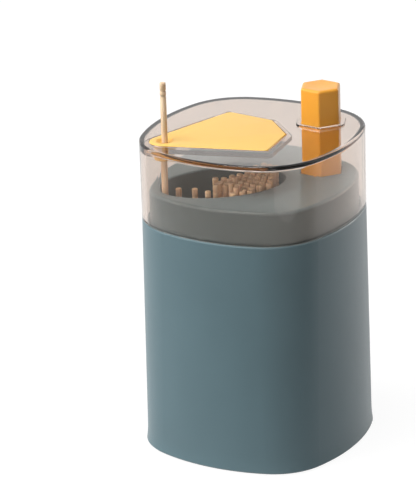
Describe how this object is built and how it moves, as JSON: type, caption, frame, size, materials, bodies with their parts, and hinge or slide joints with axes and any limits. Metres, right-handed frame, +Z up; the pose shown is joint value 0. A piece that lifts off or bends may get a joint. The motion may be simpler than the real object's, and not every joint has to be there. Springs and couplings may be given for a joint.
{
  "type": "toothpick dispenser",
  "caption": "Upright rounded-square toothpick dispenser with a clear lift-off lid; a sprung hexagonal button lowers a lever that loads a toothpick, and on release it rises through the lid.",
  "frame": {"origin": "centre of the footprint, on the surface it stands on", "axes": "+Z up; the case's faces look along X and Y; the button stands on the diagonal towards +X +Y and the raised toothpick on the diagonal towards -X -Y"},
  "size_m": [0.068, 0.068, 0.1203],
  "materials": {
    "case_teal": "fine satin, moulded",
    "hopper_teal": "satin, moulded",
    "smoky_clear": "polished clear with a warm smoky tint",
    "inlay_yellow": "satin, moulded",
    "button_amber": "satin gloss, moulded",
    "natural_plastic": "natural acetal",
    "dark_plastic": "moulded",
    "soft_rubber": "soft, matt",
    "plated_steel": "zinc plated",
    "spring_steel": "bright drawn wire",
    "bamboo": "turned, unvarnished"
  },
  "bodies": {
    "case": {"body_shell": "case_teal", "base_cover": "case_teal", "base_screws": "plated_steel", "foot_pads": "soft_rubber", "hopper": "hopper_teal", "hopper_screws": "plated_steel", "bin_ramp": "hopper_teal", "stored_toothpicks_a": "bamboo", "stored_toothpicks_b": "bamboo", "stored_toothpicks_c": "bamboo", "lever_bracket": "dark_plastic", "bracket_screws": "plated_steel", "lever_pin": "plated_steel", "pin_clips": "spring_steel", "return_spring": "spring_steel"},
    "lid": {"lid": "smoky_clear", "lid_inlay": "inlay_yellow"},
    "button": {"button": "button_amber", "push_rod": "natural_plastic"},
    "lever": {"lever": "natural_plastic"},
    "lifter": {"pick_lifter": "natural_plastic", "raised_toothpick": "bamboo"}
  },
  "joints": [
    {"name": "button_press", "type": "slide", "parent": "case", "child": "button", "axis": [0, 0, -1], "range_m": [0, 0.00969], "stiffness_N_per_m": 260, "springref_m": -0.006, "deforming": ["return_spring"]},
    {"name": "lever_swing", "type": "hinge", "parent": "case", "child": "lever", "pos_m": [0.02086, 0.02086, 0.03], "axis": [0.7071, -0.7071, 0], "range_deg": [0, 38.76]},
    {"name": "lifter_travel", "type": "slide", "parent": "case", "child": "lifter", "axis": [0, 0, -1], "range_m": [0, 0.0365]},
    {"name": "lid_lift", "type": "slide", "parent": "case", "child": "lid", "axis": [0, 0, 1], "range_m": [0, 0.0457]}
  ],
  "couplings": [
    {"joint": "lever_swing", "follows": "button_press", "rad_per_m": 69.833},
    {"joint": "lifter_travel", "follows": "button_press", "ratio": 3.7678}
  ]
}
